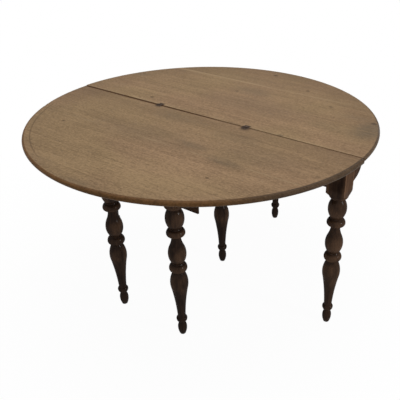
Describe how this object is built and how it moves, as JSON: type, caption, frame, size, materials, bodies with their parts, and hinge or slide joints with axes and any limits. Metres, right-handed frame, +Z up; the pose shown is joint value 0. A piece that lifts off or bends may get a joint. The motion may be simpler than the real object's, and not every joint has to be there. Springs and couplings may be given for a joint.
{
  "type": "extending table",
  "caption": "Round table on turned legs: one half of the top is fixed on a half-round frame, the other folds over it on butt hinges and rests on a pull-out frame.",
  "frame": {"origin": "on the floor under the centre of the round top, with the table opened out", "axes": "+X along the seam between the halves, +Y towards the fixed half, +Z up"},
  "size_m": [1.3288, 1.324, 0.7351],
  "materials": {
    "top_oak": "worn, scrubbed matt",
    "dark_oak": "dark stained, satin",
    "bare_oak": "unfinished, darkened with age",
    "iron": "dark worn iron",
    "screw_steel": "dull steel"
  },
  "bodies": {
    "fixed_half": {"corner_leg_left": "dark_oak", "corner_leg_right": "dark_oak", "back_leg": "dark_oak", "curved_apron_left": "dark_oak", "curved_apron_right": "dark_oak", "back_rail_left": "dark_oak", "back_rail_right": "dark_oak", "frame_pegs": "dark_oak", "guide_rail_left": "bare_oak", "guide_rail_right": "bare_oak", "stop_rail": "bare_oak", "glue_block_front_left": "bare_oak", "glue_block_front_right": "bare_oak", "glue_block_side_left": "bare_oak", "glue_block_side_right": "bare_oak", "glue_block_back_left": "bare_oak", "glue_block_back_right": "bare_oak", "guide_screws_left": "screw_steel", "guide_screws_right": "screw_steel", "stop_rail_screws": "screw_steel", "glue_block_screws": "screw_steel", "hinge_screws_fixed": "screw_steel", "fixed_board_1": "top_oak", "fixed_board_2": "top_oak", "fixed_board_3": "top_oak", "fixed_dowels": "top_oak", "hinge_fixed_leaf_left": "iron", "hinge_fixed_leaf_right": "iron", "hinge_pin_left": "iron", "hinge_pin_right": "iron"},
    "flap": {"flap_board_1": "top_oak", "flap_board_2": "top_oak", "flap_board_3": "top_oak", "flap_dowels": "top_oak", "hinge_flap_leaf_left": "iron", "hinge_flap_leaf_right": "iron", "hinge_screws_flap": "screw_steel"},
    "pull_out_frame": {"front_leg_left": "dark_oak", "front_leg_right": "dark_oak", "rear_leg": "dark_oak", "front_rail": "dark_oak", "slide_pegs": "dark_oak", "runner_left": "bare_oak", "runner_right": "bare_oak", "rear_rail_left": "bare_oak", "rear_rail_right": "bare_oak"}
  },
  "joints": [
    {"name": "flap_hinge", "type": "hinge", "parent": "fixed_half", "child": "flap", "pos_m": [0, 0, 0.73215], "axis": [-1, 0, 0], "range_deg": [0, 180]},
    {"name": "frame_slide", "type": "slide", "parent": "fixed_half", "child": "pull_out_frame", "axis": [0, 1, 0], "range_m": [0, 0.3755]}
  ]
}
